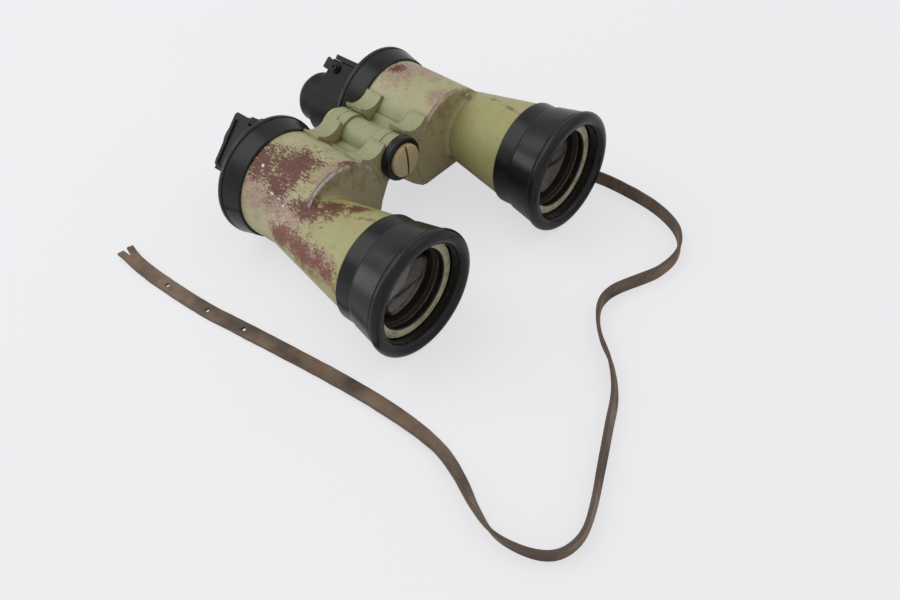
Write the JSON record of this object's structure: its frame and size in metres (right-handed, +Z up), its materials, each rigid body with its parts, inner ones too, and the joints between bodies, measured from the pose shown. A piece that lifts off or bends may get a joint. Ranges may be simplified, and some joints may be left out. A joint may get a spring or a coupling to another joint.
{
  "type": "prism binoculars",
  "caption": "Rubber-guarded marine prism binoculars with a centre hinge, focusing eyecups, hinged side flaps and a torn leather neck strap.",
  "frame": {"origin": "on the surface the binoculars lie on, under the middle of their length, between the two barrels", "axes": "+Z up, -Y the way the objectives look, +X towards the barrel that carries the strap"},
  "size_m": [0.2572, 0.3521, 0.0798],
  "materials": {
    "khaki_paint": "chipped khaki enamel over dark red primer",
    "tan_paint": "dull tan enamel",
    "black_paint": "satin black enamel",
    "guard_rubber": "smooth satin black rubber",
    "black_plastic": "satin black moulding",
    "optical_glass": "polished optical glass",
    "dull_brass": "dull brass",
    "worn_steel": "worn steel",
    "strap_leather": "old cracked brown leather"
  },
  "bodies": {
    "right_half": {"right_body": "khaki_paint", "right_housing_ring": "guard_rubber", "right_objective_cover": "guard_rubber", "right_bezel": "tan_paint", "right_objective_cell": "black_paint", "right_cell_ring": "black_paint", "right_front_lens": "optical_glass", "right_back_lens": "optical_glass", "right_rear_cover": "black_paint", "right_cover_screws": "worn_steel", "right_prism_shelf": "dull_brass", "right_front_prism": "optical_glass", "right_rear_prism": "optical_glass", "right_prism_clips": "worn_steel", "right_eyepiece_body": "black_paint", "right_flap_rod": "worn_steel", "right_side_arm": "black_paint", "right_arm_screw": "worn_steel", "sealing_plug": "dull_brass", "hinge_pin": "worn_steel", "hinge_cap": "tan_paint", "hinge_ring": "guard_rubber", "rear_hinge_cap": "black_paint", "strap_lug": "khaki_paint", "strap_loop": "strap_leather", "strap_rivet": "dull_brass", "strap": "strap_leather"},
    "left_half": {"left_body": "khaki_paint", "left_housing_ring": "guard_rubber", "left_objective_cover": "guard_rubber", "left_bezel": "tan_paint", "left_objective_cell": "black_paint", "left_cell_ring": "black_paint", "left_front_lens": "optical_glass", "left_back_lens": "optical_glass", "left_rear_cover": "black_paint", "left_cover_screws": "worn_steel", "left_prism_shelf": "dull_brass", "left_front_prism": "optical_glass", "left_rear_prism": "optical_glass", "left_prism_clips": "worn_steel", "left_eyepiece_body": "black_paint", "left_flap_rod": "worn_steel", "left_side_arm": "black_paint", "left_arm_screw": "worn_steel"},
    "right_focus_ring": {"right_eyecup": "black_plastic"},
    "right_lens_tube": {"right_eye_tube": "black_paint", "right_field_lens": "optical_glass", "right_eye_lens": "optical_glass"},
    "right_side_flap": {"right_flap": "black_plastic"},
    "left_focus_ring": {"left_eyecup": "black_plastic"},
    "left_lens_tube": {"left_eye_tube": "black_paint", "left_field_lens": "optical_glass", "left_eye_lens": "optical_glass"},
    "left_side_flap": {"left_flap": "black_plastic"}
  },
  "joints": [
    {"name": "centre_hinge", "type": "hinge", "parent": "right_half", "child": "left_half", "pos_m": [0, 0.01, 0.0556], "axis": [0, 1, 0], "range_deg": [-34, 18]},
    {"name": "right_focus_turn", "type": "hinge", "parent": "right_half", "child": "right_focus_ring", "pos_m": [0.0345, 0.09, 0.0361], "axis": [0, 1, 0], "range_deg": [-135, 135]},
    {"name": "right_focus_slide", "type": "slide", "parent": "right_half", "child": "right_lens_tube", "axis": [0, 1, 0], "range_m": [-0.0036, 0.0036]},
    {"name": "right_flap_hinge", "type": "hinge", "parent": "right_half", "child": "right_side_flap", "pos_m": [0.06777, 0.0681, 0.0452], "axis": [0, 1, 0], "range_deg": [0, 95]},
    {"name": "left_focus_turn", "type": "hinge", "parent": "left_half", "child": "left_focus_ring", "pos_m": [-0.0345, 0.09, 0.0361], "axis": [0, 1, 0], "range_deg": [-135, 135]},
    {"name": "left_focus_slide", "type": "slide", "parent": "left_half", "child": "left_lens_tube", "axis": [0, 1, 0], "range_m": [-0.0036, 0.0036]},
    {"name": "left_flap_hinge", "type": "hinge", "parent": "left_half", "child": "left_side_flap", "pos_m": [-0.04336, 0.0681, 0.06944], "axis": [0, 1, 0], "range_deg": [0, 95]}
  ],
  "couplings": [
    {"joint": "right_focus_turn", "follows": "right_focus_slide", "rad_per_m": 654.4},
    {"joint": "left_focus_turn", "follows": "left_focus_slide", "rad_per_m": 654.4}
  ]
}
